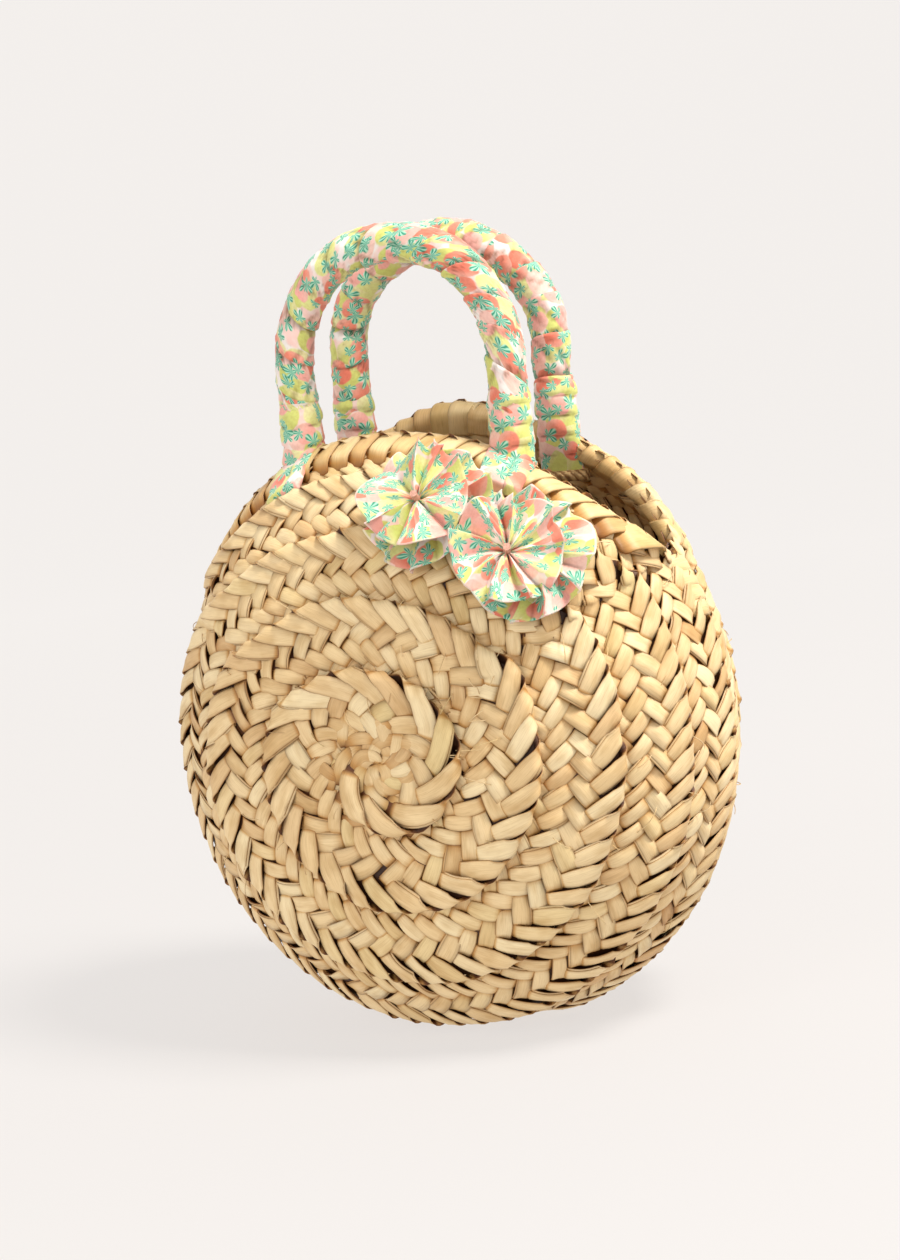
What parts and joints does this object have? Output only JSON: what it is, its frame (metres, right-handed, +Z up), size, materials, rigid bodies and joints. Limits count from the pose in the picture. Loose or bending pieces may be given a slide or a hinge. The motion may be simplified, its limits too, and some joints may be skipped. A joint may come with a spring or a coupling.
{
  "type": "woven basket handbag",
  "caption": "Round palm-leaf basket bag of coiled braid with an open mouth, fabric-wrapped rope handles that swing, and fabric rosettes on the front.",
  "frame": {"origin": "middle of the flat base, on the surface the basket stands on", "axes": "+X along the width towards the wearer's right as seen from the front, -Y out of the front panel that carries the rosettes, +Z up"},
  "size_m": [0.247, 0.1725, 0.3451],
  "materials": {
    "palm_braid": "satin",
    "palm_binding": "satin",
    "palm_cord": "matte",
    "palm_rope": "matte",
    "print_cotton": "matte",
    "thread": "matte"
  },
  "bodies": {
    "basket": {"front_panel": "palm_braid", "back_panel": "palm_braid", "front_sewing_cord": "palm_cord", "back_sewing_cord": "palm_cord", "side_seam_lacing": "palm_cord", "front_rim_binding": "palm_binding", "back_rim_binding": "palm_binding", "left_corner_wrap": "palm_binding", "right_corner_wrap": "palm_binding", "front_left_lashing": "palm_rope", "front_right_lashing": "palm_rope", "back_left_lashing": "palm_rope", "back_right_lashing": "palm_rope", "front_left_knot": "palm_rope", "front_right_knot": "palm_rope", "back_left_knot": "palm_rope", "back_right_knot": "palm_rope", "front_left_tab": "print_cotton", "front_right_tab": "print_cotton", "back_left_tab": "print_cotton", "back_right_tab": "print_cotton", "left_rosette_front": "print_cotton", "left_rosette_back": "print_cotton", "left_rosette_stitch": "thread", "right_rosette_front": "print_cotton", "right_rosette_back": "print_cotton", "right_rosette_stitch": "thread"},
    "front_handle": {"front_handle_rope": "palm_rope", "front_handle_wrap": "print_cotton"},
    "back_handle": {"back_handle_rope": "palm_rope", "back_handle_wrap": "print_cotton"}
  },
  "joints": [
    {"name": "front_handle_swing", "type": "hinge", "parent": "basket", "child": "front_handle", "pos_m": [0, -0.02606, 0.26125], "axis": [1, 0, 0], "range_deg": [-12, 95]},
    {"name": "back_handle_swing", "type": "hinge", "parent": "basket", "child": "back_handle", "pos_m": [0, 0.02606, 0.26125], "axis": [-1, 0, 0], "range_deg": [-12, 95]}
  ]
}
